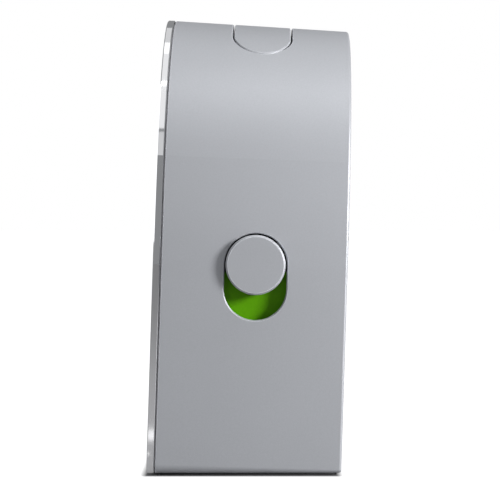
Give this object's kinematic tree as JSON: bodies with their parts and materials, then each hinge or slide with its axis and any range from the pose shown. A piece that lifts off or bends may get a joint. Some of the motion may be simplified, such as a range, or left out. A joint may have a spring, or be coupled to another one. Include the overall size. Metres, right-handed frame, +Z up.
{
  "type": "video doorbell",
  "caption": "Arched battery video doorbell with a steel front plate, camera window, call button, side power slider, top push button and a hinged battery door.",
  "frame": {"origin": "centre of the bounding box on the surface it stands on", "axes": "+X to the right seen from the front, +Y from the front plate to the back, +Z up; the power slider is on the +X side"},
  "size_m": [0.1095, 0.0579, 0.1304],
  "materials": {
    "front_plate": "polished stainless steel",
    "plate_seal": "closed-cell seal",
    "front_frame": "moulded",
    "frame_screws": "zinc plated",
    "window_glass": "smoked black",
    "camera_barrel": "matt black",
    "camera_lens": "coated",
    "lens_ring": "polished",
    "image_sensor": "glass topped",
    "camera_board": "circuit board",
    "led_board": "circuit board",
    "ir_leds": "tinted",
    "light_sensor": "clear",
    "motion_lens": "smoked",
    "motion_sensor": "nickel can",
    "call_light_ring": "diffusing",
    "call_switch": "moulded",
    "front_board": "circuit board",
    "main_board": "circuit board",
    "board_screws": "zinc plated",
    "shield_cans": "tinned",
    "board_chips": "moulded",
    "antenna": "moulded",
    "camera_flex": "moulded",
    "front_flex": "moulded",
    "speaker_frame": "moulded",
    "speaker_cone": "moulded",
    "speaker_magnet": "plated",
    "acoustic_mesh": "fine mesh",
    "microphone_boot": "moulded",
    "microphone": "gold plated",
    "microphone_board": "circuit board",
    "housing": "satin silver-grey",
    "base_pad": "matt black",
    "wall_inserts": "turned",
    "terminal_block": "moulded",
    "terminal_screws": "nickel plated",
    "battery_tray": "moulded",
    "battery_pack": "wrapped",
    "battery_contacts": "gold plated",
    "tray_magnets": "nickel plated",
    "hinge_pin": "ground",
    "reset_board": "circuit board",
    "reset_switch": "moulded",
    "switch_well": "green, satin",
    "slide_switch": "moulded",
    "switch_board": "circuit board",
    "top_switch": "moulded",
    "switch_knob": "satin silver-grey",
    "switch_carriage": "moulded",
    "top_button": "satin silver-grey",
    "call_button": "spun face",
    "call_plunger": "moulded",
    "reset_button": "moulded",
    "battery_door": "satin silver-grey",
    "door_magnets": "nickel plated"
  },
  "bodies": {
    "case": {"front_plate": "front_plate", "plate_seal": "plate_seal", "front_frame": "front_frame", "frame_screws": "frame_screws", "window_glass": "window_glass", "camera_barrel": "camera_barrel", "camera_lens": "camera_lens", "lens_ring": "lens_ring", "image_sensor": "image_sensor", "camera_board": "camera_board", "led_board": "led_board", "ir_leds": "ir_leds", "light_sensor": "light_sensor", "motion_lens": "motion_lens", "motion_sensor": "motion_sensor", "call_light_ring": "call_light_ring", "call_switch": "call_switch", "front_board": "front_board", "main_board": "main_board", "board_screws": "board_screws", "shield_cans": "shield_cans", "board_chips": "board_chips", "antenna": "antenna", "camera_flex": "camera_flex", "front_flex": "front_flex", "speaker_frame": "speaker_frame", "speaker_cone": "speaker_cone", "speaker_magnet": "speaker_magnet", "acoustic_mesh": "acoustic_mesh", "microphone_boot": "microphone_boot", "microphone": "microphone", "microphone_board": "microphone_board", "housing": "housing", "base_pad": "base_pad", "wall_inserts": "wall_inserts", "terminal_block": "terminal_block", "terminal_screws": "terminal_screws", "battery_tray": "battery_tray", "battery_pack": "battery_pack", "battery_contacts": "battery_contacts", "tray_magnets": "tray_magnets", "hinge_pin": "hinge_pin", "reset_board": "reset_board", "reset_switch": "reset_switch", "switch_well": "switch_well", "slide_switch": "slide_switch", "switch_board": "switch_board", "top_switch": "top_switch"},
    "power_slider": {"switch_knob": "switch_knob", "switch_carriage": "switch_carriage"},
    "top_press": {"top_button": "top_button"},
    "call_press": {"call_button": "call_button", "call_plunger": "call_plunger"},
    "reset_press": {"reset_button": "reset_button"},
    "door": {"battery_door": "battery_door", "door_magnets": "door_magnets"}
  },
  "joints": [
    {"name": "power_slide", "type": "slide", "parent": "case", "child": "power_slider", "axis": [0, -0.0314, -0.9995], "range_m": [0, 0.0067]},
    {"name": "top_button_press", "type": "slide", "parent": "case", "child": "top_press", "axis": [0, -0.0314, -0.9995], "range_m": [0, 0.0012], "stiffness_N_per_m": 2000, "springref_m": -0.0004},
    {"name": "call_button_press", "type": "slide", "parent": "case", "child": "call_press", "axis": [0, 0.9995, -0.0314], "range_m": [0, 0.001], "stiffness_N_per_m": 2500, "springref_m": -0.0004},
    {"name": "reset_button_press", "type": "slide", "parent": "case", "child": "reset_press", "axis": [0, -0.9995, 0.0314], "range_m": [0, 0.0006], "stiffness_N_per_m": 2500, "springref_m": -0.0004},
    {"name": "battery_door_hinge", "type": "hinge", "parent": "case", "child": "door", "pos_m": [-0.0342, 0.02493, 0.056], "axis": [0, 0.0314, 0.9995], "range_deg": [0, 95]}
  ]
}
